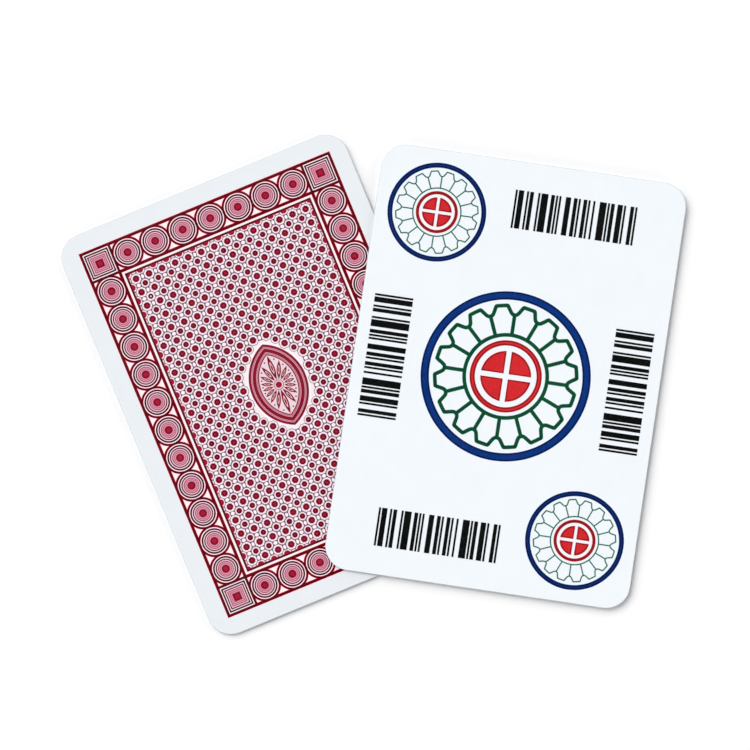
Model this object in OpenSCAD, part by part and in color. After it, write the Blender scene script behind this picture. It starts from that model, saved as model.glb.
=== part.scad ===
// Two playing cards of poker size from one deck, at the start of a fan.
// The lower card lies face down, and the upper card lies face up on its right half.
// A card is two paper plies bonded over an opaque core, with films of printed ink on both sides.
// The origin is on the table under the middle of the pair, +X is to the right and +Z is up.

/* [Card stock] */
// Width of a card
card_w = 63; // [60:0.5:66]
// Height of a card
card_h = 88; // [86:0.5:92]
// Radius of a card's corners
corner_r = 5; // [3:0.25:6]
// Thickness of the paper ply on each side
ply_t = 0.13; // [0.08:0.01:0.2]
// Thickness of the core between the plies
core_t = 0.04; // [0.02:0.01:0.08]
// Thickness of a film of ink
ink_t = 0.02; // [0.01:0.005:0.04]

/* [Fan] */
// Turn of the lower card to the left, in degrees
lower_turn = 22.4; // [12:0.1:30]
// Turn of the upper card to the right, in degrees
upper_turn = 8.4; // [0:0.1:15]
// Distance from the turning point up to the centre of each card
fan_reach = 87.5; // [60:0.1:110]
// Distance from the turning point across to the centre of each card
fan_side = 7.6; // [0:0.1:15]
// Air between the two cards
card_gap = 0.05; // [0.03:0.01:0.2]

/* [Face print] */
// Radius of the round figure in the middle
figure_r = 17.4; // [14:0.05:18.5]
// Width of the blue ring around a figure
ring_w = 1.65; // [0.8:0.05:2]
// Number of petals in a figure
petals = 16; // [8:1:20]
// Line width of the petals in the large figure
petal_line = 0.7; // [0.3:0.05:0.8]
// Line width of the petals in the small figures
small_petal_line = 0.26; // [0.15:0.01:0.4]
// Size of the corner figures against the one in the middle
small_scale = 0.58; // [0.4:0.01:0.6]
// Distance of the corner figures from the card's middle, across
small_x = 18.85; // [17:0.05:18.9]
// Distance of the corner figures from the card's middle, upwards
small_y = 31.2; // [30:0.05:31.5]
// Length of a block of bars
block_l = 25.1; // [18:0.1:27]
// Height of the bars in a block
block_h = 7.9; // [5:0.1:8.5]

/* [Back print] */
// Plain margin between the card's edge and the border
margin = 3.8; // [3:0.05:5]
// Roundels along a short side of the border
roundels_across = 7; // [5:1:9]
// Roundels along a long side of the border
roundels_up = 11; // [9:1:13]
// Line width of the border's outer frame
frame_line = 0.53; // [0.3:0.01:0.6]
// Line width of the rules inside the border
rule_line = 0.53; // [0.2:0.01:0.6]
// Columns of stars in the field
field_columns = 14; // [10:1:16]
// Rows of stars in the field
field_rows = 22; // [16:1:24]
// Radius of a star in the field
star_r = 0.66; // [0.4:0.02:0.7]
// Radius of a dot between four stars
dot_r = 0.5; // [0.3:0.02:0.6]
// Width of the pointed oval in the middle
oval_w = 11.8; // [10:0.1:13]
// Height of the pointed oval in the middle
oval_h = 17.8; // [16:0.1:20]

/* [Hidden] */

paper_white = [0.95, 0.97, 0.985];
core_grey = [0.2, 0.21, 0.24];
ring_blue = [0.05, 0.24, 0.55];
petal_green = [0, 0.35, 0.22];
wheel_red = [0.87, 0.19, 0.2];
bar_black = [0.05, 0.055, 0.05];
back_crimson = [0.72, 0.1, 0.22];

// Circles are true arcs, and this only sets how smooth they look on screen
$fn = 64;

// Height of the underside of each layer above a face-up card's own underside
back_ply_z = ink_t;
core_z = back_ply_z + ply_t;
face_ply_z = core_z + core_t;
face_ink_z = face_ply_z + ply_t;
card_t = face_ink_z + ink_t;

// Where the two cards and their turning point lie, with the middle of the pair at the origin
function turned(p, angle) = [p.x * cos(angle) - p.y * sin(angle), p.x * sin(angle) + p.y * cos(angle)];
function reach_x(angle) =
    (card_w / 2 - corner_r) * abs(cos(angle)) + (card_h / 2 - corner_r) * abs(sin(angle)) + corner_r;
function reach_y(angle) =
    (card_w / 2 - corner_r) * abs(sin(angle)) + (card_h / 2 - corner_r) * abs(cos(angle)) + corner_r;
lower_arm = turned([fan_side, fan_reach], lower_turn);
upper_arm = turned([fan_side, fan_reach], -upper_turn);
left_end = min(lower_arm.x - reach_x(lower_turn), upper_arm.x - reach_x(upper_turn));
right_end = max(lower_arm.x + reach_x(lower_turn), upper_arm.x + reach_x(upper_turn));
near_end = min(lower_arm.y - reach_y(lower_turn), upper_arm.y - reach_y(upper_turn));
far_end = max(lower_arm.y + reach_y(lower_turn), upper_arm.y + reach_y(upper_turn));
turning_point = -[left_end + right_end, near_end + far_end] / 2;
lower_at = turning_point + lower_arm;
upper_at = turning_point + upper_arm;
echo(turning_point = turning_point, lower_at = lower_at, upper_at = upper_at, card_t = card_t);

// Radii inside a figure, from its middle outwards
disc_r = 0.298 * figure_r;
cross_w = 0.063 * figure_r;
wheel_inner_r = 0.3655 * figure_r;
wheel_outer_r = 0.4235 * figure_r;
hub_r = 0.489 * figure_r;
// One petal's scalloped end: share of its angle, and distance from the middle as a share of figure_r
petal_end = [
    [0.06, 0.732], [0.14, 0.746], [0.215, 0.788], [0.295, 0.831],
    [0.705, 0.831], [0.785, 0.788], [0.86, 0.746], [0.94, 0.732]
];
valley_r = petal_end[0][1] * figure_r;

// Widths of the bars in a block and of the gaps between them, in units of the thinnest bar
bar_units = [1, 3, 1, 2, 1, 4, 2, 1, 1, 3, 2, 1, 2, 1, 1, 4, 1, 2, 3, 1, 2, 1];
gap_units = [1, 2, 1, 3, 1, 2, 1, 1, 3, 2, 1, 2, 1, 2, 3, 1, 1, 2, 1, 3, 1];
function total(list, count) = count == 0 ? 0 : list[count - 1] + total(list, count - 1);
bar_unit = block_l / (total(bar_units, len(bar_units)) + total(gap_units, len(gap_units)));
// How much wider a bar prints than it is drawn
ink_spread = 0.08;
// Distance of the blocks' middles from the card's middle
end_block = [9.1, 34.2];
side_block = [24.95, 0.4];

// The back is printed a little off the card's middle
back_shift = [-0.15, -0.1];
// The border: half the size between the middles of its outer lines, and its cells
frame_half = [card_w / 2 - margin - frame_line / 2, card_h / 2 - margin - frame_line / 2];
cell = [2 * frame_half.x / (roundels_across + 2), 2 * frame_half.y / (roundels_up + 2)];
band_half = frame_half - cell;
line_gap = 0.05;
roundel_r = min(cell.x, cell.y) / 2 - frame_line / 2 - line_gap;
roundel_line = 0.28;
second_ring_r = 0.8 * roundel_r;
roundel_dot_r = 0.29 * roundel_r;
corner_square = 0.83 * min(cell.x, cell.y);
second_square = 0.66 * min(cell.x, cell.y);
centre_square = 0.26 * min(cell.x, cell.y);

// The field inside the border, and its stars
field_gap = 0.52;
field_line = 0.64 * rule_line;
field_half = band_half - [1, 1] * (rule_line / 2 + field_gap + field_line);
star_pitch = [2 * field_half.x / field_columns, 2 * field_half.y / field_rows];

// The pointed oval is what two circles share
oval_r = (oval_w * oval_w + oval_h * oval_h) / (4 * oval_w);
oval_off = oval_r - oval_w / 2;
// Room between the oval's edge and the middles of the stars and dots around it
star_clear = 1.2;
dot_clear = 0.9;
// Distance in from the oval's edge and width of each line around it
oval_lines = [[0, 0.5], [0.85, 0.7], [1.9, 0.25]];
function oval_distance(p) = norm([abs(p.x) + oval_off, p.y]) - oval_r;
// Leaves in the oval: a ring of them around its middle dot, each as long as the innermost line allows
oval_dot_r = 0.055 * oval_w;
oval_leaves = 16;
leaf_start = 0.105 * oval_w;
leaf_clear = 0.35;
// Width of a leaf against the distance of its middle from the oval's middle
leaf_spread = 0.27;
inner_oval_r = oval_r - oval_lines[2][0] - oval_lines[2][1];
function inner_reach(angle) =
    sqrt(pow(inner_oval_r, 2) - pow(oval_off * sin(angle), 2)) - oval_off * abs(cos(angle));

// Puts a face-up card's layer in the place of the lower card, face down
module on_lower_card() {
    translate([lower_at.x, lower_at.y, card_t]) rotate(lower_turn) rotate([0, 180, 0]) children();
}

// Puts a face-up card's layer in the place of the upper card
module on_upper_card() {
    translate([upper_at.x, upper_at.y, card_t + card_gap]) rotate(-upper_turn) children();
}

module layer(z, thickness) {
    translate([0, 0, z]) linear_extrude(thickness) children();
}

// A film of crimson ink on the back of a face-up card
module back_print() {
    color(back_crimson) translate([back_shift.x, back_shift.y, 0]) layer(0, ink_t) children();
}

// Repeats one flat shape, or a large and a small one, at the three figures of the face
module at_figures() {
    children(0);
    for (side = [-1, 1])
        translate(side * [-small_x, small_y]) scale(small_scale) children($children - 1);
}

module ring(outer, width) {
    difference() {
        circle(outer);
        circle(outer - width);
    }
}

module box_line(half, width) {
    difference() {
        square(2 * half + [width, width], center = true);
        square(2 * half - [width, width], center = true);
    }
}

// A pointed leaf of a width and a length along Y, which is what two circles share
module leaf(size) {
    radius = (size.y * size.y + size.x * size.x) / (4 * size.x);
    intersection() {
        translate([radius - size.x / 2, 0]) circle(radius);
        translate([size.x / 2 - radius, 0]) circle(radius);
    }
}

// The sheet of one ply or of the core
module card_outline() {
    square([card_w - 2 * corner_r, card_h], center = true);
    square([card_w, card_h - 2 * corner_r], center = true);
    for (x = [-1, 1], y = [-1, 1])
        translate([x * (card_w / 2 - corner_r), y * (card_h / 2 - corner_r)]) circle(corner_r);
}

module ply(z) {
    color(paper_white) layer(z, ply_t) card_outline();
}

module core() {
    color(core_grey) layer(core_z, core_t) card_outline();
}

// Blue rings around the three figures
module ring_ink() {
    color(ring_blue) layer(face_ink_z, ink_t) at_figures() ring(figure_r, ring_w);
}

// The petals' scalloped outline, drawn as a closed line
module petal_outline(line) {
    points = [
        for (k = [0:petals - 1], p = petal_end)
            turned([p[1] * figure_r, 0], 90 + (k + p[0]) * 360 / petals)
    ];
    difference() {
        offset(delta = line / 2) polygon(points);
        offset(delta = -line / 2) polygon(points);
    }
}

module petal_net(line) {
    petal_outline(line);
    ring(hub_r + line / 2, line);
    for (k = [0:petals - 1])
        rotate(90 + k * 360 / petals)
            translate([(hub_r + valley_r) / 2, 0]) square([valley_r - hub_r, line], center = true);
}

// Green petals of the three figures
module petal_ink() {
    color(petal_green) layer(face_ink_z, ink_t) at_figures() {
        petal_net(petal_line);
        petal_net(small_petal_line / small_scale);
    }
}

module wheel() {
    ring(wheel_outer_r, wheel_outer_r - wheel_inner_r);
    difference() {
        circle(disc_r);
        square([3 * disc_r, cross_w], center = true);
        square([cross_w, 3 * disc_r], center = true);
    }
}

// Red ring and quartered disc of the three figures
module wheel_ink() {
    color(wheel_red) layer(face_ink_z, ink_t) at_figures() wheel();
}

// One block of bars along X, centred
module bar_block() {
    for (k = [0:len(bar_units) - 1])
        translate([(total(bar_units, k) + total(gap_units, k) + bar_units[k] / 2) * bar_unit - block_l / 2, 0])
            square([bar_units[k] * bar_unit + ink_spread, block_h], center = true);
}

// Black bars along the four sides of the face
module bar_ink() {
    color(bar_black) layer(face_ink_z, ink_t)
        for (side = [-1, 1]) {
            translate(side * end_block) bar_block();
            translate([side * side_block.x, side_block.y]) rotate(-90) bar_block();
        }
}

// Ruled lines of the border, which part off its four corner cells, and the line around the field
module frame_ink() {
    back_print() {
        box_line(frame_half, frame_line);
        for (side = [-1, 1]) {
            translate([side * band_half.x, 0]) square([rule_line, 2 * frame_half.y], center = true);
            translate([0, side * band_half.y]) square([2 * frame_half.x, rule_line], center = true);
        }
        box_line(field_half + [field_line, field_line] / 2, field_line);
    }
}

module roundel() {
    ring(roundel_r, roundel_line);
    ring(second_ring_r, roundel_line);
    circle(roundel_dot_r);
}

module corner_mark() {
    box_line([corner_square, corner_square] / 2, roundel_line);
    box_line([second_square, second_square] / 2, roundel_line);
    square(centre_square, center = true);
}

// Roundels along the border and square marks in its corners
module roundel_ink() {
    middle = (frame_half + band_half) / 2;
    back_print()
        for (side = [-1, 1]) {
            for (i = [1:roundels_across])
                translate([i * cell.x - middle.x, side * middle.y]) roundel();
            for (j = [1:roundels_up])
                translate([side * middle.x, j * cell.y - middle.y]) roundel();
            for (end = [-1, 1])
                translate([side * middle.x, end * middle.y]) corner_mark();
        }
}

// Place in the field, counted in columns and rows from its lower left corner
function field_place(column, row) = [column * star_pitch.x, row * star_pitch.y] - field_half;

// Stars of the field and the dots between them, which stay clear of the oval in the middle
module field_ink() {
    back_print() {
        for (i = [0:field_columns - 1], j = [0:field_rows - 1]) {
            star = field_place(i + 0.5, j + 0.5);
            if (oval_distance(star) > star_clear) translate(star) circle(star_r, $fn = 4);
        }
        for (i = [1:field_columns - 1], j = [1:field_rows - 1]) {
            dot = field_place(i, j);
            if (oval_distance(dot) > dot_clear) translate(dot) circle(dot_r);
        }
    }
}

// The pointed oval, taken in all round
module oval(inset) {
    intersection() {
        translate([oval_off, 0]) circle(oval_r - inset);
        translate([-oval_off, 0]) circle(oval_r - inset);
    }
}

module oval_ring(inset, line) {
    difference() {
        oval(inset);
        oval(inset + line);
    }
}

// Pointed oval of three lines with a ring of leaves around a dot
module medallion_ink() {
    back_print() {
        for (line = oval_lines) oval_ring(line[0], line[1]);
        circle(oval_dot_r);
        for (k = [0:oval_leaves - 1]) {
            angle = k * 360 / oval_leaves;
            leaf_end = inner_reach(angle) - leaf_clear;
            middle = (leaf_start + leaf_end) / 2;
            rotate(angle - 90) translate([0, middle]) leaf([leaf_spread * middle, leaf_end - leaf_start]);
        }
    }
}

module face_down_card_face_ply() { on_lower_card() ply(face_ply_z); }
module face_down_card_core() { on_lower_card() core(); }
module face_down_card_back_ply() { on_lower_card() ply(back_ply_z); }
module face_down_card_ring_ink() { on_lower_card() ring_ink(); }
module face_down_card_petal_ink() { on_lower_card() petal_ink(); }
module face_down_card_wheel_ink() { on_lower_card() wheel_ink(); }
module face_down_card_bar_ink() { on_lower_card() bar_ink(); }
module face_down_card_frame_ink() { on_lower_card() frame_ink(); }
module face_down_card_roundel_ink() { on_lower_card() roundel_ink(); }
module face_down_card_field_ink() { on_lower_card() field_ink(); }
module face_down_card_medallion_ink() { on_lower_card() medallion_ink(); }
module face_up_card_face_ply() { on_upper_card() ply(face_ply_z); }
module face_up_card_core() { on_upper_card() core(); }
module face_up_card_back_ply() { on_upper_card() ply(back_ply_z); }
module face_up_card_ring_ink() { on_upper_card() ring_ink(); }
module face_up_card_petal_ink() { on_upper_card() petal_ink(); }
module face_up_card_wheel_ink() { on_upper_card() wheel_ink(); }
module face_up_card_bar_ink() { on_upper_card() bar_ink(); }
module face_up_card_frame_ink() { on_upper_card() frame_ink(); }
module face_up_card_roundel_ink() { on_upper_card() roundel_ink(); }
module face_up_card_field_ink() { on_upper_card() field_ink(); }
module face_up_card_medallion_ink() { on_upper_card() medallion_ink(); }

face_down_card_face_ply();
face_down_card_core();
face_down_card_back_ply();
face_down_card_ring_ink();
face_down_card_petal_ink();
face_down_card_wheel_ink();
face_down_card_bar_ink();
face_down_card_frame_ink();
face_down_card_roundel_ink();
face_down_card_field_ink();
face_down_card_medallion_ink();
face_up_card_face_ply();
face_up_card_core();
face_up_card_back_ply();
face_up_card_ring_ink();
face_up_card_petal_ink();
face_up_card_wheel_ink();
face_up_card_bar_ink();
face_up_card_frame_ink();
face_up_card_roundel_ink();
face_up_card_field_ink();
face_up_card_medallion_ink();
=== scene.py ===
"""Two playing cards at the start of a fan: paper, core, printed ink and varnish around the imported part."""

import math

import bpy
import numpy as np
from mathutils import Matrix, Vector


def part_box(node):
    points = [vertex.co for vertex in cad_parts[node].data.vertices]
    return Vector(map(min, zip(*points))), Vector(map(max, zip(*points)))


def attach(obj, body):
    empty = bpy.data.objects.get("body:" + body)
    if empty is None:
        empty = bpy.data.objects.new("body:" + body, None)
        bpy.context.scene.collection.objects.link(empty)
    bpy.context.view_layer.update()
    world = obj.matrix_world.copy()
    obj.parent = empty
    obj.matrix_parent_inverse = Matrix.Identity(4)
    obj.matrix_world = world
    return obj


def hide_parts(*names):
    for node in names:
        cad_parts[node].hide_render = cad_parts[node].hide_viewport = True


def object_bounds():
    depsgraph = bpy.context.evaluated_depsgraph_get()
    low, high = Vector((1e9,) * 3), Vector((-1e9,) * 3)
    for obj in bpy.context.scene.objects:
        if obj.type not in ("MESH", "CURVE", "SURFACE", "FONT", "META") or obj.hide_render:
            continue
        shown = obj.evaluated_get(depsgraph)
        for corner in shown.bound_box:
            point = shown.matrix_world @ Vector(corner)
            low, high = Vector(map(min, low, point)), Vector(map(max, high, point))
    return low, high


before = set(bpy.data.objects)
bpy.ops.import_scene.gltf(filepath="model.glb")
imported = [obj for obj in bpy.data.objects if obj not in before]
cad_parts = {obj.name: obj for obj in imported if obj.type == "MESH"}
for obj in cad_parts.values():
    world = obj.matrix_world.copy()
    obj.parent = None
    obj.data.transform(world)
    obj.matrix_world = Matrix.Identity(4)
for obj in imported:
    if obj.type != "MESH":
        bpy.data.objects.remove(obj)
cad_low, cad_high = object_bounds()

# Sizes on the cards are in millimetres, as printed, and become metres when a piece is placed
MM = 0.001

# Card stock
CARD_SIZE = np.array([63.0, 88.0])
CORNER_R, LEAST_CORNER_R = 5.0, 0.02
# Radius of the rolled edge, and width of the rim along the cut where shade is painted into the paper as grey
EDGE_ROLL, EDGE_SHADE = 0.045, 0.13
# Distances from the edge of the rows of points on the flat of a sheet
FLAT_ROWS = [EDGE_SHADE, 0.7, 2.0, 8.0]
# Turn of each card seen from above, and whether it lies face down
CARDS = {"face_down_card": (22.4, True), "face_up_card": (-8.4, False)}
# Size of a card's flat map as a share of the card, and the angle past which an edge is sharp
MAP_SIZE = 1.02
SHARP_ANGLE = 35.0

# Ink: width of the darker rim where it gathers along the edge of a wide line or a disc
INK_RIM = 0.33
# Width of the fringe where ink spreads beside a line, and beside the strong lines of the border
INK_SPREAD, FRAME_SPREAD = 0.05, 0.08
# Tones: 0 is a print's plain ink, 1 and above are its line colours in turn, and -1 and -2 its tints
PALE, WHITE = -1.0, -2.0
# Tones of the fringe beside a strong line, and beside a fine line, a star or a dot
BRIGHT_FRINGE, SOFT_FRINGE = 5.0, -0.4

# Face print: three round figures, given at the size of the large one
FIGURE_R = 17.4
RING_W = 1.65
DISC_R, CROSS_W = 0.298 * FIGURE_R, 0.063 * FIGURE_R
WHEEL_INNER_R, WHEEL_OUTER_R = 0.3655 * FIGURE_R, 0.4235 * FIGURE_R
HUB_R = 0.489 * FIGURE_R
PETALS = 16
PETAL_LINE, SMALL_PETAL_LINE = 0.72, 0.2
# One petal's scalloped end: share of its angle, and distance from the middle as a share of FIGURE_R
PETAL_END = np.array(
    [[0.055, 0.729], [0.13, 0.744], [0.215, 0.789], [0.285, 0.834], [0.315, 0.836],
     [0.685, 0.836], [0.715, 0.834], [0.785, 0.789], [0.87, 0.744], [0.945, 0.729]]
)
SMALL_SCALE = 0.58
SMALL_AT = np.array([-18.85, 31.2])
# Middle, size, petal line and share of heavier ink of the large figure and of the two small ones
FIGURES = [(np.zeros(2), 1.0, PETAL_LINE, 0.0)]
FIGURES += [(sign * SMALL_AT, SMALL_SCALE, SMALL_PETAL_LINE, 1.0) for sign in (1, -1)]
# Tones of the rims of a ring, a wheel and a quarter of a disc, and of a small figure's ring
RING_RIM_TONE, WHEEL_RIM_TONE, QUARTER_RIM_TONE = 1.0, 0.85, 0.75
SMALL_RING_TONE = 0.25
# Points around a ring, a wheel and a hub, and along the arc of a quarter
RING_POINTS, WHEEL_POINTS, HUB_POINTS, QUARTER_POINTS = 120, 96, 72, 14

# Back print: the frame, the border of roundels, and the field of stars and dots inside it
BACK_SHIFT = np.array([-0.15, -0.1])
MARGIN = 3.8
# Widths of the frame's line, of the rule inside the roundels and of the line around the field
FRAME_LINE, RULE_LINE = 0.53, 0.53
FIELD_LINE = 0.64 * RULE_LINE
FIELD_GAP = 0.52
ROUNDELS = np.array([7, 11])
STARS = np.array([14, 22])
FRAME_HALF = CARD_SIZE / 2 - MARGIN - FRAME_LINE / 2
CELL = 2 * FRAME_HALF / (ROUNDELS + 2)
BAND_HALF = FRAME_HALF - CELL
BAND_MIDDLE = (FRAME_HALF + BAND_HALF) / 2
FIELD_HALF = BAND_HALF - (RULE_LINE / 2 + FIELD_GAP + FIELD_LINE)
PITCH = 2 * FIELD_HALF / STARS
# Tone of the field's wash, and width and tone of the heavier ink along the field's edge
FIELD_TONE = -1.86
FIELD_EDGE, FIELD_EDGE_TONE = 0.12, 0.8

# Back print: a star, a dot with the fine ring around it, an open dot and a dot on the field's edge
STAR_R, STAR_WAIST, STAR_HEART_R = 0.7, 0.83, 0.3
STAR_POINTS, STAR_TONE = 8, 1.0
DOT_R, DOT_HEART_R = 0.55, 0.2
DOT_POINTS, DOT_HEART_POINTS, DOT_TONE = 14, 8, 1.1
DOT_RING_R, DOT_RING_LINE, DOT_RING_TONE = 0.9, 0.1, 3.4
OPEN_DOT_R, OPEN_DOT_LINE, OPEN_DOT_TONE = 0.66 * DOT_R, 0.68 * DOT_R, 1.0
# Columns and rows of the open dots among the corners of the field's cells
OPEN_DOTS = ([1, -2], [2, -3])
EDGE_DOT_R, EDGE_DOT_TONE = 0.7, 0.3
# Points along half and a quarter of what is cut at the field's edge
HALF_POINTS, CORNER_POINTS = 9, 5

# Back print: the net around a star, an octagon with its flat sides at one distance, half the lengths of those
# sides, and the widths of its upright and level lines
NET_SIDE = 1.05
NET_ACROSS, NET_UP = 0.47, 0.47
NET_LINE = np.array([0.11, 0.1])
NET_TONE = 3.1
# How far an eye of the net stays from the octagons above and below it
EYE_GAP = 0.03
# The eyes between two stars side by side and one above the other: half sizes of the plate and of its opening
EYE_BESIDE, OPEN_BESIDE = np.array([PITCH[0] / 2 - NET_SIDE, 0.64]), np.array([0.32, 0.43])
EYE_ABOVE, OPEN_ABOVE = np.array([0.62, PITCH[1] / 2 - NET_SIDE - EYE_GAP]), np.array([0.42, 0.38])
# How far the white in an opening reaches under the plate, as a share of the opening
OPEN_REACH = 1.1
# Points around an eye and their tones, darkest in the corners, and the tone of half an eye
EYE_POINTS = 12
EYE_TONES = np.resize([3.0, 4.0, 4.0], EYE_POINTS)
HALF_EYE_TONE = 4.0

# Back print: the lines of a roundel from its edge inwards, as distance from its middle, width and tone, then
# width and tone of the fringe
ROUNDEL_LINES = [
    (3.08, 0.36, 1.4, FRAME_SPREAD, BRIGHT_FRINGE),
    (2.45, 0.31, 2.0, INK_SPREAD, PALE),
    (1.96, 0.19, 1.9, INK_SPREAD, -0.6),
    (1.53, 0.08, 0.8, INK_SPREAD, SOFT_FRINGE),
    (1.16, 0.03, 0.6, INK_SPREAD, SOFT_FRINGE),
]
# The lines of a corner square, which has no outermost line of its own because the frame runs there
SQUARE_LINES = [(2.43, 0.28, 2.0, INK_SPREAD, PALE), *ROUNDEL_LINES[2:]]
# The grounds between the lines of either, as distance from the middle, width and tone
MARK_GROUNDS = [(2.74, 0.44, WHITE), (2.16, 0.64, -1.85), (1.65, 0.44, -1.4), (1.12, 0.68, -0.98)]
# The dot in the middle and its heart
MARK_DOT_R, MARK_HEART_R = 0.8, 0.5
MARK_DOT_TONE, MARK_HEART_TONE = 0.85, 0.1
# Points around a roundel's lines and around its dot
ROUNDEL_POINTS, ROUNDEL_DOT_POINTS = 36, 28

# Back print: the pointed oval in the middle
OVAL_W, OVAL_H = 11.8, 17.8
OVAL_R = (OVAL_W**2 + OVAL_H**2) / (4 * OVAL_W)
OVAL_OFF = OVAL_R - OVAL_W / 2
# Width of the white around the oval
OVAL_MARGIN = 0.45
# Room between the oval's edge and the middles of the stars and dots around it
STAR_CLEAR, DOT_CLEAR = 1.2, 0.9
# Distance in from the oval's edge and width of each line around it, and their tones
OVAL_LINES, OVAL_LINE_TONE = [(0.0, 0.5), (0.85, 0.7), (1.9, 0.25)], 0.6
FINE_LINES, FINE_LINE_TONE = [(0.62, 0.1), (1.68, 0.1)], 0.4
# Tones of the grounds inside the outermost and the innermost of those lines
OUTER_GROUND_TONE, INNER_GROUND_TONE = -1.2, -1.62
# The dot in the oval's middle, and the ring around it
OVAL_DOT_R, OVAL_DOT_TONE = 0.055 * OVAL_W, 0.3
OVAL_RING_R, OVAL_RING_LINE, OVAL_RING_TONE = 1.5 * OVAL_DOT_R, 0.12, 0.8
# Leaves around that dot: where they start, how far they stay from the innermost line, and width for each
# millimetre from the oval's middle
LEAVES = 16
LEAF_START, LEAF_CLEAR = 0.105 * OVAL_W, 0.35
LEAF_SPREAD = 0.27
# Sizes of a leaf's rim, hollow and heart as shares of the leaf's room, and tones of the rim and the heart
LEAF_RIM, LEAF_HOLLOW, LEAF_HEART = 1.1, 0.56, 0.36
LEAF_RIM_TONE, LEAF_HEART_TONE = 0.7, 0.2
# Beads between the ends of the leaves, and the distance of their middles from the innermost line
BEAD_R, BEAD_CLEAR, BEAD_TONE = 0.17, 0.5, 0.8
# Points around the dot, the ring and a bead
OVAL_DOT_POINTS, OVAL_RING_POINTS, BEAD_POINTS = 24, 36, 8

# Colours as 8-bit sRGB
PAPER_FACE, PAPER_FACE_SHADE = (244, 249, 253), (241, 246, 251)
# Painted shade: the back paper is the same stock as the face paper, painted darker because the lower card,
# which shows its back, takes less light
SHADED_PAPER_BACK, SHADED_PAPER_BACK_DARK = (237, 241, 245), (233, 238, 243)
# Painted shade: the grey that the paper takes along its cut edge
PAINTED_EDGE_SHADE = (172, 178, 186)
CORE_DARK, CORE_LIGHT = (38, 40, 48), (66, 68, 76)
BLUE, BLUE_DEEP, NAVY = (2, 55, 131), (0, 44, 116), (0, 12, 66)
GREEN, GREEN_DEEP, DARK_GREEN = (2, 80, 52), (0, 64, 40), (34, 90, 84)
RED, RED_DEEP, DARK_RED = (220, 45, 50), (204, 33, 40), (134, 12, 20)
PALE_BLUE, PALE_GREEN, PALE_RED = (150, 178, 232), (150, 200, 180), (250, 150, 155)
BLACK, BLACK_DEEP = (8, 10, 9), (2, 3, 3)
CRIMSON, CRIMSON_DEEP, MAROON = (188, 26, 62), (170, 16, 50), (98, 6, 28)
FRAME_CRIMSON, FRAME_CRIMSON_DEEP = (98, 0, 15), (86, 0, 11)
DARK_MAROON, PLUM, MAUVE = (36, 2, 13), (86, 12, 56), (166, 120, 146)
BRIGHT_RED = (252, 52, 84)
PINK, TINT = (221, 151, 174), (252, 244, 249)

# Fibres of paper and core: turn of their noise in degrees, and width as a share of length, which is along Y
FIBRE_TURN, FIBRE_WIDTH = 24.0, 0.22

# Corners of a square, counter-clockwise
SQUARE = np.array([[1, 1], [-1, 1], [-1, -1], [1, -1]])


# Where the cards lie: the middle of a card is the middle of its core

def card_matrix(card):
    """Turns a card's own frame, face up and centred on its core, into the part's frame."""
    turn, face_down = CARDS[card]
    low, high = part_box(card + "_core")
    flip = Matrix.Rotation(math.pi if face_down else 0, 4, "Y")
    return Matrix.Translation((low + high) / 2) @ Matrix.Rotation(math.radians(turn), 4, "Z") @ flip


def layer_heights():
    """Distances from the middle of a card to the outside of its core, plies and ink, in millimetres."""
    middle = sum(corner.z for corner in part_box("face_up_card_core")) / 2
    tops = [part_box("face_up_card_" + layer)[1].z - middle for layer in ("core", "face_ply", "ring_ink")]
    return [top / MM for top in tops]


CORE_TOP, PLY_TOP, INK_TOP = layer_heights()
INK = INK_TOP - PLY_TOP


# Paths

def polygon(count, start=0.0, radii=1.0):
    """Corners at even angles from a start angle, counter-clockwise, at one radius or several in turn."""
    angles = np.radians(start) + np.arange(count) * 2 * np.pi / count
    reach = np.resize(radii, count)
    return np.stack([reach * np.cos(angles), reach * np.sin(angles)], -1)


def arc(start, end, count):
    """Points on a circle of radius 1 from one angle to another, in degrees."""
    angles = np.radians(np.linspace(start, end, count))
    return np.stack([np.cos(angles), np.sin(angles)], -1)


def turned(points, degrees):
    """Points turned about the origin, by one angle or by one angle each."""
    angle = np.radians(degrees)
    x, y = points[..., 0], points[..., 1]
    return np.stack([x * np.cos(angle) - y * np.sin(angle), x * np.sin(angle) + y * np.cos(angle)], -1)


def rounded(points, passes=3):
    """A closed path with cut corners: a pass keeps points a quarter and three quarters along each side."""
    for _ in range(passes):
        ahead = np.roll(points, -1, 0)
        points = np.stack([0.75 * points + 0.25 * ahead, 0.25 * points + 0.75 * ahead], 1).reshape(-1, 2)
    return points


def line_sides(path, width):
    """The two sides of a line of a width along a closed path: the path moved both ways along its normals."""
    along = np.roll(path, -1, 0) - np.roll(path, 1, 0)
    normal = np.stack([along[:, 1], -along[:, 0]], -1) / np.linalg.norm(along, axis=1, keepdims=True)
    return path + normal * width / 2, path - normal * width / 2


def strips(starts, ends, widths):
    """Rectangles of a width from each start to each end, as counter-clockwise outlines."""
    along = ends - starts
    across = np.stack([-along[:, 1], along[:, 0]], -1) / np.linalg.norm(along, axis=1, keepdims=True)
    across = across * np.reshape(widths, (-1, 1)) / 2
    return np.stack([starts - across, ends - across, ends + across, starts + across], 1)


def leaf(count=9):
    """A pointed leaf of width and length 1 along Y about the origin: two sides that follow a half sine."""
    share = np.linspace(0, 1, count)
    right = np.stack([np.sin(np.pi * share) / 2, share - 0.5], -1)
    left = (right * [-1, 1])[::-1]
    return np.concatenate([right, left[1:-1]])


def all_places(across, upward):
    """Every place that has an x of the first list and a y of the second."""
    return np.stack(np.meshgrid(across, upward), -1).reshape(-1, 2)


def stacked(paths):
    """One path or several as an array of copies, corners, and x and y."""
    return np.asarray(paths, float).reshape(-1, *np.shape(paths)[-2:])


# Meshes

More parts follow.
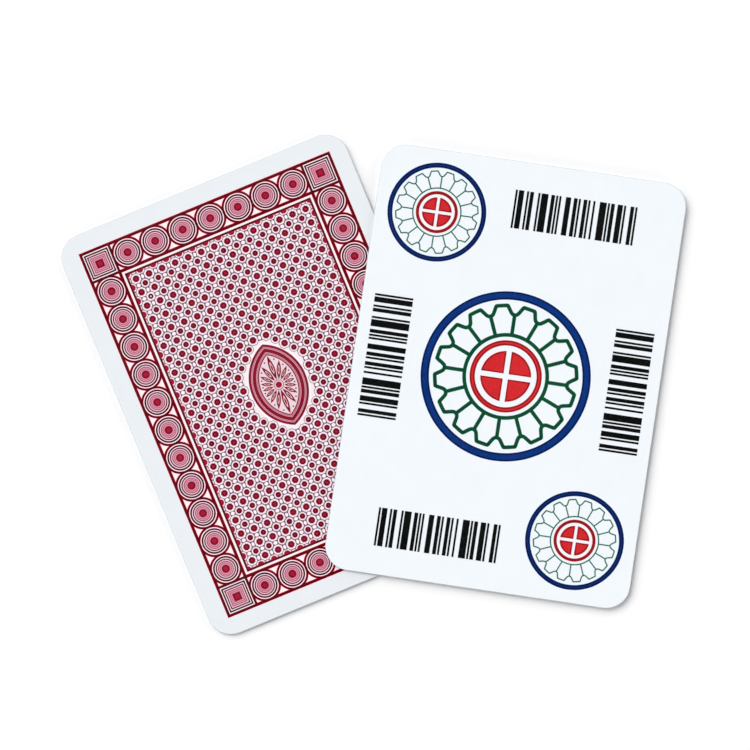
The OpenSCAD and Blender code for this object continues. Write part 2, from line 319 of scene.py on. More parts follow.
class Solid:
    """Gathers closed solids in a card's own frame as arrays of points, face corners and ink tones.

    A film's lift is its height as a share of the ink's thickness. Where films overlap, the higher one
    shows."""

    def __init__(self, side=1, shift=(0.0, 0.0)):
        self.side, self.shift = side, shift
        self.points, self.corners, self.sizes, self.tones = [], [], [], []
        self.count = 0

    def add(self, points, faces, tones):
        """Adds points with their tones and groups of faces, each of faces with the same number of corners."""
        points = np.asarray(points, float).reshape(-1, 3)
        for group in faces:
            self.corners.append((group + self.count).ravel())
            self.sizes.append(np.full(len(group), group.shape[1]))
        self.points.append(points)
        self.tones.append(tones)
        self.count += len(points)

    def heights(self, lift):
        """Lower and upper height of a film of ink that stands proud of this side's ply."""
        return sorted((self.side * PLY_TOP, self.side * (PLY_TOP + lift * INK)))

    def plates(self, outlines, lift=1.0, tone=0.0):
        """Carries each outline, counter-clockwise, straight up through the film and closes both ends."""
        outlines = stacked(outlines)
        copies, corners = outlines.shape[:2]
        points = np.empty((copies, 2, corners, 3))
        points[..., :2] = outlines[:, None]
        points[..., 2] = np.array(self.heights(lift))[None, :, None]
        first = np.arange(copies)[:, None] * 2 * corners
        around = np.arange(corners)
        following = np.roll(around, -1)
        walls = np.stack([around, following, following + corners, around + corners], -1)
        faces = [first + around[::-1], first + corners + around, (first[..., None] + walls).reshape(-1, 4)]
        self.add(points, faces, np.broadcast_to(tone, points.shape[:-1]).ravel())

    def bands(self, outer, inner, lift=1.0, tone=0.0):
        """Carries the rectangle between an outer and an inner path, counter-clockwise, once around."""
        outer, inner = stacked(outer), stacked(inner)
        copies, corners = outer.shape[:2]
        low, high = self.heights(lift)
        points = np.empty((copies, 4, corners, 3))
        points[..., :2] = np.stack([outer, outer, inner, inner], 1)
        points[..., 2] = np.array([low, high, high, low])[None, :, None]
        first = np.arange(copies)[:, None, None, None] * 4 * corners
        section = (np.arange(4) * corners)[:, None]
        above = np.roll(section, -1, 0)
        around = np.arange(corners)
        following = np.roll(around, -1)
        quads = np.stack([section + around, section + following, above + following, above + around], -1)
        self.add(points, [(first + quads).reshape(-1, 4)], np.broadcast_to(tone, points.shape[:-1]).ravel())

    def loops(self, centres, reach, width, path, **film):
        """A line of a width about each centre, along a path of reach 1 that is drawn out to a reach."""
        centres = np.asarray(centres, float).reshape(-1, 1, 2)
        self.bands(centres + (reach + width / 2) * path, centres + (reach - width / 2) * path, **film)

    def rings(self, centres, radius, width, count, **film):
        """A round line of a width about each centre."""
        self.loops(centres, radius, width, polygon(count), **film)

    def piece(self, card, name, material, slot):
        """Makes the mesh of a card's piece, which rides on that card and stands for the node of its name."""
        points = np.concatenate(self.points) + [*self.shift, 0.0]
        corners = np.concatenate(self.corners)
        sizes = np.concatenate(self.sizes)
        mesh = bpy.data.meshes.new(f"{card}_{name}_dressed")
        mesh.vertices.add(len(points))
        mesh.loops.add(len(corners))
        mesh.polygons.add(len(sizes))
        matrix = np.array(card_matrix(card))
        placed = points * MM @ matrix[:3, :3].T + matrix[:3, 3]
        mesh.vertices.foreach_set("co", placed.ravel())
        mesh.loops.foreach_set("vertex_index", corners)
        mesh.polygons.foreach_set("loop_start", np.cumsum(sizes) - sizes)
        mesh.polygons.foreach_set("loop_total", sizes)
        mesh.update(calc_edges=True)
        mesh.set_sharp_from_angle(angle=math.radians(SHARP_ANGLE))
        tone = mesh.attributes.new("tone", "FLOAT", "POINT")
        tone.data.foreach_set("value", np.concatenate(self.tones))
        flat = points[corners, :2] / (MAP_SIZE * CARD_SIZE) + 0.5
        mesh.uv_layers.new(name="OFBake").uv.foreach_set("vector", flat.ravel())
        mesh.materials.append(material)
        made = bpy.data.objects.new(mesh.name, mesh)
        bpy.context.scene.collection.objects.link(made)
        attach(made, card)
        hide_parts(f"{card}_{name}")


# Card stock

def card_outline(inset, per_corner=14):
    """A card's outline, drawn in by a distance: four arcs about the corners' centres, counter-clockwise."""
    radius = max(CORNER_R - inset, LEAST_CORNER_R)
    reach = CARD_SIZE / 2 - inset - radius
    angles = np.linspace(0, np.pi / 2, per_corner)
    quarters = np.arange(4)[:, None] * np.pi / 2 + angles
    arcs = SQUARE[:, None] * reach + radius * np.stack([np.cos(quarters), np.sin(quarters)], -1)
    return arcs.reshape(-1, 2)


def ply(side):
    """A sheet of paper from the core outwards: its cut edge goes straight up and rolls over a quarter circle.

    The tone of a point is how near it is to the cut edge, and sets how much grey shade is painted there."""
    roll = np.linspace(0, np.pi / 2, 5)
    insets = np.concatenate([[0.0], EDGE_ROLL * (1 - np.cos(roll)), FLAT_ROWS])
    rise = np.concatenate([[0.0], EDGE_ROLL * (np.sin(roll) - 1), np.zeros(len(FLAT_ROWS))])
    heights = PLY_TOP + rise
    heights[0] = CORE_TOP
    tones = np.clip(1 - insets / EDGE_SHADE, 0, 1)
    rows = np.stack([card_outline(inset) for inset in insets])
    count = rows.shape[1]
    points = np.concatenate([rows, np.broadcast_to(heights[:, None, None], (*rows.shape[:2], 1))], -1)
    points[..., 2] *= side
    around = np.arange(count)
    following = np.roll(around, -1)
    low = (np.arange(len(rows) - 1) * count)[:, None]
    quads = np.stack([low + around, low + following, low + count + following, low + count + around], -1)
    groups = [quads.reshape(-1, 4), around[None, ::-1], (len(rows) - 1) * count + around[None]]
    if side < 0:
        groups = [group[:, ::-1] for group in groups]
    sheet = Solid(side)
    sheet.add(points, groups, np.repeat(tones, count))
    return sheet


# Face print

def petal_path():
    """The outline of the large figure's petals: PETAL_END once for each, with rounded corners."""
    share = (np.arange(PETALS)[:, None] + PETAL_END[:, 0]).ravel()
    reach = np.tile(PETAL_END[:, 1], PETALS) * FIGURE_R
    points = turned(np.stack([reach, 0 * reach], -1), 90 + share * 360 / PETALS)
    return rounded(points)


def petal_print():
    """Green petals of the three figures: the scalloped outline, a hub circle and a spoke in each valley.

    The three have different heights, so that no two tops lie in one plane where they meet."""
    film = Solid()
    path = petal_path()
    valley = PETAL_END[0, 1] * FIGURE_R
    spokes = 90 + np.arange(PETALS) * 360 / PETALS
    starts = turned(np.tile([HUB_R, 0.0], (PETALS, 1)), spokes)
    ends = turned(np.tile([valley, 0.0], (PETALS, 1)), spokes)
    for centre, size, line, heavy in FIGURES:
        for width, lift, tone in ((line + 2 * INK_SPREAD, 0.3, PALE), (line, 0.8, heavy)):
            film.bands(*line_sides(centre + size * path, width), lift=lift + 0.2, tone=tone)
            film.rings(centre, size * HUB_R, width, HUB_POINTS, lift=lift + 0.1, tone=tone)
            film.plates(strips(centre + size * starts, centre + size * ends, width), lift=lift, tone=tone)
    return film


def ring_print():
    """Blue rings around the three figures, each with a darker rim and a pale fringe."""
    film = Solid()
    for centre, size, _, heavy in FIGURES:
        middle, width = size * (FIGURE_R - RING_W / 2), size * RING_W
        film.rings(centre, middle, width + 2 * INK_SPREAD, RING_POINTS, lift=0.5, tone=PALE)
        film.rings(centre, middle, width, RING_POINTS, lift=0.9, tone=RING_RIM_TONE)
        film.rings(centre, middle, width - 2 * INK_RIM, RING_POINTS, tone=SMALL_RING_TONE * heavy)
    return film


def wheel_print():
    """Red ring and quartered disc of the three figures.

    A quarter is an arc between the arms of the white cross, closed at the corner where the arms meet. Ink is
    darker along the edges."""
    film = Solid()
    start = math.degrees(math.asin(CROSS_W / 2 / DISC_R))
    quarter = np.concatenate([DISC_R * arc(start, 90 - start, QUARTER_POINTS), [[CROSS_W / 2, CROSS_W / 2]]])
    quarters = np.stack([turned(quarter, angle) for angle in (0, 90, 180, 270)])
    middle, width = (WHEEL_OUTER_R + WHEEL_INNER_R) / 2, WHEEL_OUTER_R - WHEEL_INNER_R
    for centre, size, _, heavy in FIGURES:
        film.rings(centre, size * middle, size * width + 2 * INK_SPREAD, WHEEL_POINTS, lift=0.5, tone=PALE)
        film.rings(centre, size * middle, size * width, WHEEL_POINTS, lift=0.9, tone=WHEEL_RIM_TONE)
        if not heavy:
            film.rings(centre, middle, width - 2 * INK_RIM, WHEEL_POINTS)
        for edge in centre + size * quarters:
            film.plates(line_sides(edge, INK_RIM)[1], lift=0.9)
            film.plates(line_sides(edge, 2 * INK_SPREAD)[0], lift=0.5, tone=PALE)
            film.bands(edge, line_sides(edge, 2 * INK_RIM)[1], tone=QUARTER_RIM_TONE)
    return film


# Back print: the border

def border_places():
    """Middles of the roundels along the four sides of the border, and of the squares in its corners."""
    sides = np.array([-1, 1])
    across = np.arange(1, ROUNDELS[0] + 1) * CELL[0] - BAND_MIDDLE[0]
    upward = np.arange(1, ROUNDELS[1] + 1) * CELL[1] - BAND_MIDDLE[1]
    ends = all_places(across, sides * BAND_MIDDLE[1])
    flanks = all_places(sides * BAND_MIDDLE[0], upward)
    return np.concatenate([ends, flanks]), all_places(sides, sides) * BAND_MIDDLE


def roundel_print():
    """Roundels of nested rings on grounds that deepen inwards to a dot with a dark rim, and squares alike."""
    film = Solid(-1, BACK_SHIFT)
    roundels, corners = border_places()
    marks = (
        (roundels, ROUNDEL_LINES, polygon(ROUNDEL_POINTS), polygon(ROUNDEL_DOT_POINTS)),
        (corners, SQUARE_LINES, SQUARE, SQUARE),
    )
    for places, lines, path, dot in marks:
        for reach, width, tone in MARK_GROUNDS:
            film.loops(places, reach, width, path, lift=0.4, tone=tone)
        for reach, width, tone, beside, fringe in lines:
            film.loops(places, reach, width + 2 * beside, path, lift=0.6, tone=fringe)
            film.loops(places, reach, width, path, lift=0.8, tone=tone)
        middles = places[:, None]
        film.plates(middles + (MARK_DOT_R + 2 * INK_SPREAD) * dot, lift=0.7, tone=SOFT_FRINGE)
        film.plates(middles + MARK_DOT_R * dot, lift=0.9, tone=MARK_DOT_TONE)
        film.plates(middles + MARK_HEART_R * dot, tone=MARK_HEART_TONE)
    return film


# Back print: the field

def oval_distance(places):
    """How far places lie outside the edge of the pointed oval."""
    return np.hypot(np.abs(places[..., 0]) + OVAL_OFF, places[..., 1]) - OVAL_R


def add_washes(film):
    """A white wash in the frame, a pinker one in the field with a heavier edge, and fringes of the frame."""
    film.plates(FRAME_HALF * SQUARE, lift=0.1, tone=WHITE)
    film.plates((FIELD_HALF - FIELD_EDGE / 2) * SQUARE, lift=0.2, tone=FIELD_TONE)
    film.bands(FIELD_HALF * SQUARE, (FIELD_HALF - FIELD_EDGE) * SQUARE, lift=0.45, tone=FIELD_EDGE_TONE)
    for half, line in ((FRAME_HALF, FRAME_LINE), (BAND_HALF, RULE_LINE)):
        reach = line / 2 + FRAME_SPREAD
        film.bands((half + reach) * SQUARE, (half - reach) * SQUARE, lift=0.3, tone=BRIGHT_FRINGE)


def add_stars(film, middles):
    """Stars whose points and waists take turns around a circle, each with a soft fringe and a plain heart."""
    star = polygon(2 * STAR_POINTS, radii=[STAR_R, STAR_R * STAR_WAIST])
    film.plates(middles + star, lift=0.9, tone=STAR_TONE)
    film.plates(middles + (STAR_R + INK_SPREAD) * polygon(STAR_POINTS), lift=0.6, tone=SOFT_FRINGE)
    film.plates(middles + STAR_HEART_R * polygon(STAR_POINTS))


def add_dots(film, corners):
    """Dots at the inner corners of the cells outside the oval, each in a fine ring, and two open dots."""
    inside = np.zeros(corners.shape[:2], bool)
    inside[1:-1, 1:-1] = True
    open_dot = np.zeros_like(inside)
    open_dot[OPEN_DOTS] = True
    places = corners[inside & ~open_dot & (oval_distance(corners) > DOT_CLEAR)]
    middles = places[:, None]
    dot = polygon(DOT_POINTS)
    film.plates(middles + (DOT_R + INK_SPREAD) * dot, lift=0.6, tone=SOFT_FRINGE)
    film.plates(middles + DOT_R * dot, lift=0.9, tone=DOT_TONE)
    film.plates(middles + DOT_HEART_R * polygon(DOT_HEART_POINTS))
    film.loops(places, DOT_RING_R, DOT_RING_LINE, dot, lift=0.35, tone=DOT_RING_TONE)
    film.loops(corners[open_dot], OPEN_DOT_R, OPEN_DOT_LINE, dot, tone=OPEN_DOT_TONE)


def add_net(film, stars, kept):
    """An octagon around each star, and an eye between two stars that are both there.

    An eye is a square plate with a round opening: the same angles on a square and on an ellipse."""
    upper = [[NET_ACROSS, NET_SIDE], [-NET_ACROSS, NET_SIDE]]
    left = [[-NET_SIDE, NET_UP], [-NET_SIDE, -NET_UP]]
    octagon = np.concatenate([upper, left, np.negative(upper), np.negative(left)])
    swell = NET_LINE / NET_SIDE / 2
    middles = stars[kept][:, None]
    film.bands(middles + (1 + swell) * octagon, middles + (1 - swell) * octagon, lift=0.5, tone=NET_TONE)
    beside = (stars[:-1] + stars[1:])[kept[:-1] & kept[1:]][:, None] / 2
    above = (stars[:, :-1] + stars[:, 1:])[kept[:, :-1] & kept[:, 1:]][:, None] / 2
    round_path = polygon(EYE_POINTS, start=45)
    square_path = round_path / np.abs(round_path).max(1, keepdims=True)
    for eyes, plate, opening in ((beside, EYE_BESIDE, OPEN_BESIDE), (above, EYE_ABOVE, OPEN_ABOVE)):
        film.bands(eyes + square_path * plate, eyes + round_path * opening, lift=0.4, tone=EYE_TONES)
        film.plates(eyes + OPEN_REACH * round_path * opening, lift=0.3, tone=WHITE)


def half_eye(plate, opening):
    """Half of an eye of the net, cut along Y: half a rectangle with half an ellipse taken out of it."""
    box = np.array([[0, -1], [1, -1], [1, 1], [0, 1]]) * plate
    return np.concatenate([box, arc(90, -90, HALF_POINTS) * opening])


def add_edges(film, corners):
    """Half dots and half eyes along the field's edges, from the left on, and quarter dots in its corners."""
    half_dot = EDGE_DOT_R * arc(-90, 90, HALF_POINTS)
    quarter_dot = np.concatenate([EDGE_DOT_R * arc(0, 90, CORNER_POINTS), [[0, 0]]])
    flank_eye = half_eye(EYE_BESIDE, OPEN_BESIDE)
    end_eye = half_eye(EYE_ABOVE[::-1], OPEN_ABOVE[::-1])
    edges = [corners[0], corners[:, 0], corners[-1], corners[:, -1]]
    ends = [corners[0, 0], corners[-1, 0], corners[-1, -1], corners[0, -1]]
    for turn, edge, end, eye in zip((0, 90, 180, 270), edges, ends, (flank_eye, end_eye) * 2):
        film.plates(edge[1:-1, None] + turned(half_dot, turn), tone=EDGE_DOT_TONE)
        film.plates(end + turned(quarter_dot, turn), tone=EDGE_DOT_TONE)
        between = (edge[:-1, None] + edge[1:, None]) / 2
        film.plates(between + turned(eye, turn), lift=0.4, tone=HALF_EYE_TONE)


def field_print():
    """Field of stars and dots in a net of fine lines, over pale washes.

    Stars sit in the middles of the cells and dots at their corners, and both leave room for the oval. What
    meets the edge of the field is cut there."""
    film = Solid(-1, BACK_SHIFT)
    lines = [np.arange(count + 1) * pitch - half for count, pitch, half in zip(STARS, PITCH, FIELD_HALF)]
    corners = np.stack(np.meshgrid(*lines, indexing="ij"), -1)
    stars = corners[:-1, :-1] + PITCH / 2
    kept = oval_distance(stars) > STAR_CLEAR
    add_washes(film)
    add_stars(film, stars[kept][:, None])
    add_dots(film, corners)
    add_net(film, stars, kept)
    add_edges(film, corners)
    return film


# Back print: the oval

def oval_path(inset, count=40):
    """The pointed oval drawn in by a distance, counter-clockwise: the outline that two circles share."""
    radius = OVAL_R - inset
    tip = math.acos(OVAL_OFF / radius)
    angles = np.linspace(-tip, tip, count)[:-1]
    right = np.stack([radius * np.cos(angles) - OVAL_OFF, radius * np.sin(angles)], -1)
    return np.concatenate([right, -right])


def inner_reach(degrees):
    """Distance from the oval's middle to its innermost line, along angles counted from X."""
    angle = np.radians(degrees)
    radius = OVAL_R - sum(OVAL_LINES[-1])
    return np.sqrt(radius**2 - (OVAL_OFF * np.sin(angle)) ** 2) - OVAL_OFF * np.abs(np.cos(angle))


def add_leaves(film):
    """Leaves around the oval's dot, each as long as the oval allows, and a bead between two leaves' ends."""
    angles = np.arange(LEAVES) * 360 / LEAVES
    ends = inner_reach(angles) - LEAF_CLEAR
    middles = (LEAF_START + ends) / 2
    sizes = np.stack([LEAF_SPREAD * middles, ends - LEAF_START], -1)[:, None]
    outwards = np.stack([0 * middles, middles], -1)[:, None]
    rim, hollow, heart = (
        turned(leaf() * share * sizes + outwards, (angles - 90)[:, None])
        for share in (LEAF_RIM, LEAF_HOLLOW, LEAF_HEART)
    )
    film.bands(rim, hollow, tone=LEAF_RIM_TONE)
    film.plates(heart, tone=LEAF_HEART_TONE)
    between = angles + 180 / LEAVES
    beads = turned(np.stack([inner_reach(between) - BEAD_CLEAR, 0 * between], -1), between)
    film.plates(beads[:, None] + BEAD_R * polygon(BEAD_POINTS), tone=BEAD_TONE)


def medallion_print():
    """Pointed oval of strong and fine lines with a ring of leaves around a dot, on tinted grounds."""
    film = Solid(-1, BACK_SHIFT)
    film.plates(oval_path(-OVAL_MARGIN), lift=0.25, tone=WHITE)
    grounds = ((OVAL_LINES[0], 0.3, OUTER_GROUND_TONE), (OVAL_LINES[-1], 0.4, INNER_GROUND_TONE))
    for (inset, width), lift, tone in grounds:
        film.plates(oval_path(inset + width / 2), lift=lift, tone=tone)
    for inset, width in OVAL_LINES:
        film.bands(oval_path(inset), oval_path(inset + width), tone=OVAL_LINE_TONE)
    for inset, width in FINE_LINES:
        film.bands(oval_path(inset), oval_path(inset + width), lift=0.7, tone=FINE_LINE_TONE)
    film.plates(OVAL_DOT_R * polygon(OVAL_DOT_POINTS), tone=OVAL_DOT_TONE)
    film.rings((0, 0), OVAL_RING_R, OVAL_RING_LINE, OVAL_RING_POINTS, lift=0.8, tone=OVAL_RING_TONE)
    add_leaves(film)
    return film


# Shader groups

def new_group(name, inputs, outputs):
    """A shader node group with a Vector input, number inputs and value outputs."""
    group = bpy.data.node_groups.new(name, "ShaderNodeTree")
    group.interface.new_socket("Vector", in_out="INPUT", socket_type="NodeSocketVector")
    for label, value in inputs.items():
        group.interface.new_socket(label, in_out="INPUT", socket_type="NodeSocketFloat").default_value = value
    for label in outputs:
        group.interface.new_socket(label, in_out="OUTPUT", socket_type="NodeSocketFloat")
    return group, group.nodes.new("NodeGroupInput"), group.nodes.new("NodeGroupOutput")


def feed(tree, socket, value):
    """Links a socket to an output, or sets it to a number or a colour."""
    if isinstance(value, bpy.types.NodeSocket):
        tree.links.new(value, socket)
    else:
        socket.default_value = value


def noise(tree, vector, scale, detail=2.0, rough=0.5):
    """A noise texture whose scale is a number or another node's output."""
    made = tree.nodes.new("ShaderNodeTexNoise")
    made.inputs["Detail"].default_value = detail
    made.inputs["Roughness"].default_value = rough
    tree.links.new(vector, made.inputs["Vector"])
    feed(tree, made.inputs["Scale"], scale)
    return made.outputs["Fac"]


def maths(tree, operation, *values):
    """A math node on numbers or outputs."""
    made = tree.nodes.new("ShaderNodeMath")
    made.operation = operation
    for socket, value in zip(made.inputs, values):
        feed(tree, socket, value)
    return made.outputs[0]


def spread(tree, value, low, high, to_low=0.0, to_high=1.0):
    """Stretches a value from one range to another and holds it there."""
    made = tree.nodes.new("ShaderNodeMapRange")
    for socket, number in zip(made.inputs[1:5], (low, high, to_low, to_high)):
        socket.default_value = number
    tree.links.new(value, made.inputs["Value"])
    return made.outputs["Result"]


def paper_group():
    """Paper: slow clouds in the sheet, short fibres that lie mostly one way, and the tooth of the surface."""
    inputs = {"Cloud Scale": 180.0, "Fibre Scale": 2200.0}
    group, start, end = new_group("paper_grain", inputs, ["Cloud", "Fibre", "Height"])
    vector = start.outputs["Vector"]
    fibre_scale = start.outputs["Fibre Scale"]
    cloud = noise(group, vector, start.outputs["Cloud Scale"], detail=3.0, rough=0.6)
    lay = group.nodes.new("ShaderNodeMapping")
    lay.inputs["Rotation"].default_value = (0, 0, math.radians(FIBRE_TURN))
    lay.inputs["Scale"].default_value = (1.0, FIBRE_WIDTH, 1.0)
    group.links.new(vector, lay.inputs["Vector"])
    fibre = noise(group, lay.outputs["Vector"], fibre_scale, detail=3.0, rough=0.65)
    tooth = noise(group, vector, maths(group, "MULTIPLY", fibre_scale, 3.0), detail=1.0)
    height = maths(group, "MULTIPLY_ADD", fibre, 0.7, maths(group, "MULTIPLY", tooth, 0.3))
    group.links.new(spread(group, cloud, 0.3, 0.7), end.inputs["Cloud"])
    group.links.new(spread(group, fibre, 0.3, 0.7), end.inputs["Fibre"])
    group.links.new(height, end.inputs["Height"])
    return group


def ink_group():
    """Printed ink: slow changes of density, the press's grain, and pinholes where fibres show."""
    inputs = {"Cloud Scale": 140.0, "Grain Scale": 3400.0}
    group, start, end = new_group("ink_lay", inputs, ["Density", "Pinhole", "Height"])
    vector = start.outputs["Vector"]
    grain_scale = start.outputs["Grain Scale"]
    cloud = noise(group, vector, start.outputs["Cloud Scale"], detail=3.0, rough=0.6)
    grain = noise(group, vector, grain_scale, detail=2.0, rough=0.6)
    fine = noise(group, vector, maths(group, "MULTIPLY", grain_scale, 2.6), detail=1.0)
    mixed = maths(group, "MULTIPLY_ADD", cloud, 0.55, maths(group, "MULTIPLY", grain, 0.45))
    group.links.new(spread(group, mixed, 0.34, 0.66), end.inputs["Density"])
    group.links.new(spread(group, fine, 0.7, 0.8), end.inputs["Pinhole"])
    group.links.new(grain, end.inputs["Height"])
    return group


def varnish_group():
    """Varnish: the soft peel of a coated sheet, and duller patches where fingers have held the card."""
    inputs = {"Peel Scale": 900.0, "Smudge Scale": 45.0}
    group, start, end = new_group("varnish", inputs, ["Smudge", "Gloss", "Peel"])
    vector = start.outputs["Vector"]
    smudge = noise(group, vector, start.outputs["Smudge Scale"], detail=4.0, rough=0.6)
    peel = noise(group, vector, start.outputs["Peel Scale"], detail=1.0)
    worn = spread(group, smudge, 0.42, 0.68)
    group.links.new(worn, end.inputs["Smudge"])
    group.links.new(spread(group, worn, 0.0, 1.0, to_low=0.2, to_high=0.1), end.inputs["Gloss"])
    group.links.new(peel, end.inputs["Peel"])
    return group


PAPER_GRAIN, INK_LAY, VARNISH = paper_group(), ink_group(), varnish_group()
# Numbers of a Mix node's two colour inputs and of its colour output
MIX_A, MIX_B, MIX_OUT = 6, 7, 2


# Materials

class Finish:
    """A material with one Principled shader, Object coordinates and helpers to reach its sockets."""

    def __init__(self, name):
        self.material = bpy.data.materials.new(name)
        self.material.use_nodes = True
        self.tree = self.material.node_tree
        self.shader = self.tree.nodes["Principled BSDF"]
        self.place = self.tree.nodes.new("ShaderNodeTexCoord").outputs["Object"]

    def group(self, group, **numbers):
        """Places a shared group on Object coordinates with its own numbers, and returns its outputs."""
        made = self.tree.nodes.new("ShaderNodeGroup")
        made.node_tree = group
        self.tree.links.new(self.place, made.inputs["Vector"])
        for label, number in numbers.items():
            made.inputs[label.replace("_", " ").title()].default_value = number
        return made.outputs

    def mix(self, share, first, second):
        """A colour between two colours, each an sRGB triple or another node's output."""
        made = self.tree.nodes.new("ShaderNodeMix")
        made.data_type = "RGBA"
        feed(self.tree, made.inputs["Factor"], share)
        for index, colour in ((MIX_A, first), (MIX_B, second)):
            feed(self.tree, made.inputs[index], linear(colour) if isinstance(colour, tuple) else colour)
        return made.outputs[MIX_OUT]

    def tone(self):
        """The piece's own tone attribute, which is 0 where a piece has none."""
        made = self.tree.nodes.new("ShaderNodeAttribute")
        made.attribute_name = "tone"
        return made.outputs["Fac"]

    def maths(self, operation, *values):
        """A math node in this material."""
        return maths(self.tree, operation, *values)

    def link(self, label, output):
        """Links an output to one of the shader's sockets."""
        self.tree.links.new(output, self.shader.inputs[label])

    def bump(self, height, distance):
        """Raises the surface by a height of up to a distance in metres."""
        made = self.tree.nodes.new("ShaderNodeBump")
        made.inputs["Strength"].default_value = 1.0
        made.inputs["Distance"].default_value = distance
        self.tree.links.new(height, made.inputs["Height"])
        self.link("Normal", made.outputs["Normal"])

    def varnish(self, rough, wear):
        """Coats the surface, rougher by the wear where hands have been, and returns its peel's height."""
        coat = self.group(VARNISH)
        self.link("Roughness", self.maths("MULTIPLY_ADD", coat["Smudge"], wear, rough))
        self.link("Coat Weight", coat["Gloss"])
        self.shader.inputs["Coat Roughness"].default_value = 0.22
        self.shader.inputs["Specular IOR Level"].default_value = 0.25
        return coat["Peel"]


def linear(colour):
    """An 8-bit sRGB colour as linear RGBA."""
    share = np.array(colour) / 255
    rgb = np.where(share <= 0.04045, share / 12.92, ((share + 0.055) / 1.055) ** 2.4)
    return (*rgb.tolist(), 1.0)


def paper(name, light, shade):
    """Coated card paper: bluish white with faint clouds and fibres, and shade painted in as grey along its
    cut edge.
    """
    finish = Finish(name)
    grain = finish.group(PAPER_GRAIN)
    clouds = finish.maths("MULTIPLY_ADD", grain["Fibre"], 0.3, finish.maths("MULTIPLY", grain["Cloud"], 0.7))
    sheet = finish.mix(clouds, light, shade)
    # Painted shade: the paper turns grey towards its cut edge, by how near each point is to it
    finish.link("Base Color", finish.mix(finish.tone(), sheet, PAINTED_EDGE_SHADE))
    peel = finish.varnish(rough=0.3, wear=0.1)
    finish.bump(finish.maths("MULTIPLY_ADD", peel, 0.5, grain["Height"]), distance=2e-6)
    return finish.material


def ink(name, light, deep, lines=(), tints=()):
    """Printed ink under varnish, with uneven density and fine pinholes.

    A piece's tone takes it from the plain colour at 0 to the line colours at 1 and above, and to the tints
    at -1 and -2."""
    finish = Finish(name)
    lay = finish.group(INK_LAY)
    film = finish.mix(lay["Density"], light, deep)
    for step, colour in enumerate(lines):
        film = finish.mix(finish.maths("SUBTRACT", finish.tone(), step), film, colour)
    for step, colour in enumerate(tints):
        film = finish.mix(finish.maths("SUBTRACT", -step, finish.tone()), film, colour)
    pinholes = finish.maths("MULTIPLY", lay["Pinhole"], 0.18)
    finish.link("Base Color", finish.mix(pinholes, film, PAPER_FACE))
    peel = finish.varnish(rough=0.27, wear=0.1)
    finish.bump(finish.maths("MULTIPLY_ADD", peel, 0.5, lay["Height"]), distance=1.5e-6)
    return finish.material


def core_board(name):
    """The opaque core seen at the cut edge: dark glue soaked into fibres."""
    finish = Finish(name)
    grain = finish.group(PAPER_GRAIN, fibre_scale=5200.0)
    finish.link("Base Color", finish.mix(grain["Fibre"], CORE_DARK, CORE_LIGHT))
    finish.link("Roughness", finish.maths("MULTIPLY_ADD", grain["Cloud"], 0.15, 0.75))
    finish.bump(grain["Height"], distance=4e-6)
    return finish.material


face_paper = paper("face_paper", PAPER_FACE, PAPER_FACE_SHADE)
# The back paper's darker colour is painted shade
shaded_back_paper = paper("shaded_back_paper", SHADED_PAPER_BACK, SHADED_PAPER_BACK_DARK)
glue_core = core_board("glue_core")
blue_ink = ink("blue_ink", BLUE, BLUE_DEEP, [NAVY], [PALE_BLUE])
green_ink = ink("green_ink", GREEN, GREEN_DEEP, [DARK_GREEN], [PALE_GREEN])
red_ink = ink("red_ink", RED, RED_DEEP, [DARK_RED], [PALE_RED])
black_ink = ink("black_ink", BLACK, BLACK_DEEP)
back_lines = [MAROON, DARK_MAROON, PLUM, MAUVE, BRIGHT_RED]
crimson_ink = ink("crimson_ink", CRIMSON, CRIMSON_DEEP, back_lines, [PINK, TINT])
frame_crimson_ink = ink("frame_crimson_ink", FRAME_CRIMSON, FRAME_CRIMSON_DEEP)


# Pieces of both cards

KEPT_NODES = {"core": glue_core, "bar_ink": black_ink, "frame_ink": frame_crimson_ink}
for card in CARDS:
    for name, material in KEPT_NODES.items():
        for material_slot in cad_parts[f"{card}_{name}"].material_slots:
            material_slot.material = material
    ply(1).piece(card, "face_ply", face_paper, "coated_paper")
    ply(-1).piece(card, "back_ply", shaded_back_paper, "coated_paper")
    ring_print().piece(card, "ring_ink", blue_ink, "blue_ink")
    petal_print().piece(card, "petal_ink", green_ink, "green_ink")
    wheel_print().piece(card, "wheel_ink", red_ink, "red_ink")
    roundel_print().piece(card, "roundel_ink", crimson_ink, "crimson_ink")
    field_print().piece(card, "field_ink", crimson_ink, "crimson_ink")
    medallion_print().piece(card, "medallion_ink", crimson_ink, "crimson_ink")


# Floor, light and camera, in metres

FLOOR_HALF = 8.0
FLOOR_DROP = 0.3 * MM
FLOOR_WHITE, FLOOR_GLOW = 0.97, 0.05
# The tent's opening overhead: heights between which it dims, on a sphere of radius 1, and its share of light
OPENING_FROM, OPENING_TO, OPENING_SHARE = 0.25, 0.6, 0.03
VIEW_MIDDLE = Vector((0.29 * MM, 1.94 * MM, 0))
VIEW_WIDTH = 153.5 * MM
# Focal length and width of the camera's sensor, in millimetres
LENS, SENSOR = 200.0, 36.0


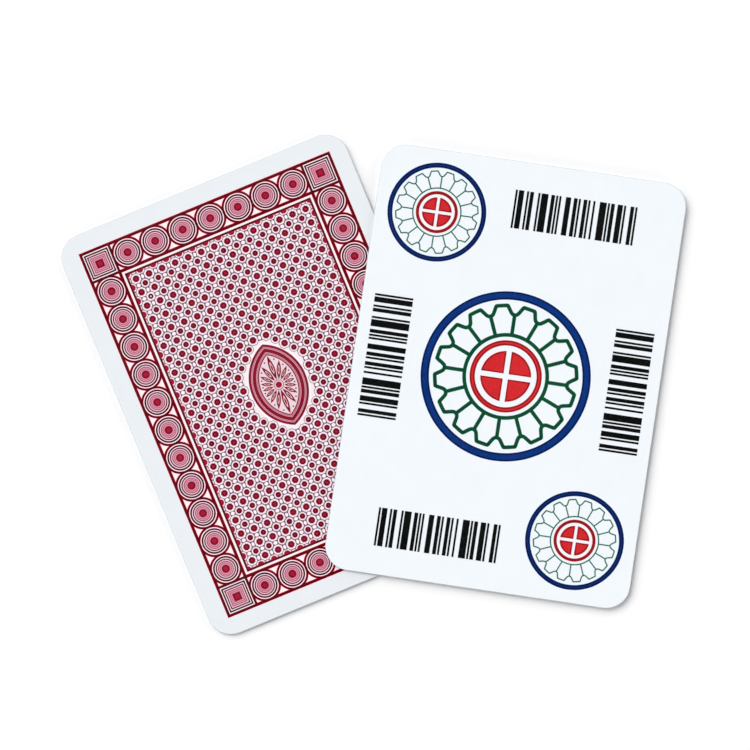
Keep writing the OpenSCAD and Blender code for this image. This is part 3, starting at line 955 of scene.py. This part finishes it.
def floor():
    """A white floor just under the cards, whose plain light for the eye alone takes it to full white."""
    mesh = bpy.data.meshes.new("floor")
    mesh.from_pydata([(x, y, -FLOOR_DROP) for x, y in FLOOR_HALF * SQUARE], [], [(0, 1, 2, 3)])
    made = bpy.data.objects.new("floor", mesh)
    bpy.context.scene.collection.objects.link(made)
    material = bpy.data.materials.new("floor_white")
    material.use_nodes = True
    tree = material.node_tree
    tree.nodes.remove(tree.nodes["Principled BSDF"])
    matt = tree.nodes.new("ShaderNodeBsdfDiffuse")
    matt.inputs["Color"].default_value = (FLOOR_WHITE, FLOOR_WHITE, FLOOR_WHITE, 1)
    glow = tree.nodes.new("ShaderNodeEmission")
    seen = tree.nodes.new("ShaderNodeLightPath").outputs["Is Camera Ray"]
    tree.links.new(maths(tree, "MULTIPLY", seen, FLOOR_GLOW), glow.inputs["Strength"])
    both = tree.nodes.new("ShaderNodeAddShader")
    tree.links.new(matt.outputs[0], both.inputs[0])
    tree.links.new(glow.outputs[0], both.inputs[1])
    tree.links.new(both.outputs[0], tree.nodes["Material Output"].inputs["Surface"])
    mesh.materials.append(material)


def studio_world(lit):
    """A white tent with a dim opening overhead, brighter as light on the cards than to the eye."""
    world = bpy.data.worlds.new("white_tent")
    world.use_nodes = True
    bpy.context.scene.world = world
    tree = world.node_tree
    sky = tree.nodes.new("ShaderNodeTexCoord")
    split = tree.nodes.new("ShaderNodeSeparateXYZ")
    tree.links.new(sky.outputs["Generated"], split.inputs[0])
    opening = spread(tree, split.outputs["Z"], OPENING_FROM, OPENING_TO, to_low=1.0, to_high=OPENING_SHARE)
    path = tree.nodes.new("ShaderNodeLightPath")
    rays = [path.outputs[f"Is {kind} Ray"] for kind in ("Camera", "Glossy", "Transmission")]
    seen = maths(tree, "MAXIMUM", maths(tree, "MAXIMUM", rays[0], rays[1]), rays[2])
    level = spread(tree, seen, 0.0, 1.0, to_low=lit, to_high=1.0)
    background = tree.nodes["Background"]
    background.inputs["Color"].default_value = (1, 1, 1, 1)
    tree.links.new(maths(tree, "MULTIPLY", level, opening), background.inputs["Strength"])


def softbox(azimuth, elevation, spread_angle, power):
    """A far, wide light on the cards from an azimuth, counted from +X towards +Y, and an elevation."""
    lamp = bpy.data.lights.new("softbox", "SUN")
    lamp.angle = math.radians(spread_angle)
    lamp.energy = power
    made = bpy.data.objects.new("softbox", lamp)
    bpy.context.scene.collection.objects.link(made)
    turn, rise = math.radians(azimuth), math.radians(elevation)
    way = Vector((math.cos(turn) * math.cos(rise), math.sin(turn) * math.cos(rise), math.sin(rise)))
    made.location = way
    made.rotation_euler = way.to_track_quat("Z", "Y").to_euler()


def camera():
    """A long lens that looks straight down on the middle of the picture."""
    lens = bpy.data.cameras.new("camera")
    lens.lens, lens.sensor_width = LENS, SENSOR
    made = bpy.data.objects.new("camera", lens)
    bpy.context.scene.collection.objects.link(made)
    made.location = VIEW_MIDDLE + Vector((0, 0, VIEW_WIDTH * LENS / SENSOR + cad_high.z))
    bpy.context.scene.camera = made


floor()
studio_world(lit=2.05)
softbox(azimuth=135, elevation=42, spread_angle=50, power=2.8)
camera()
bpy.context.scene.view_settings.view_transform = "Standard"
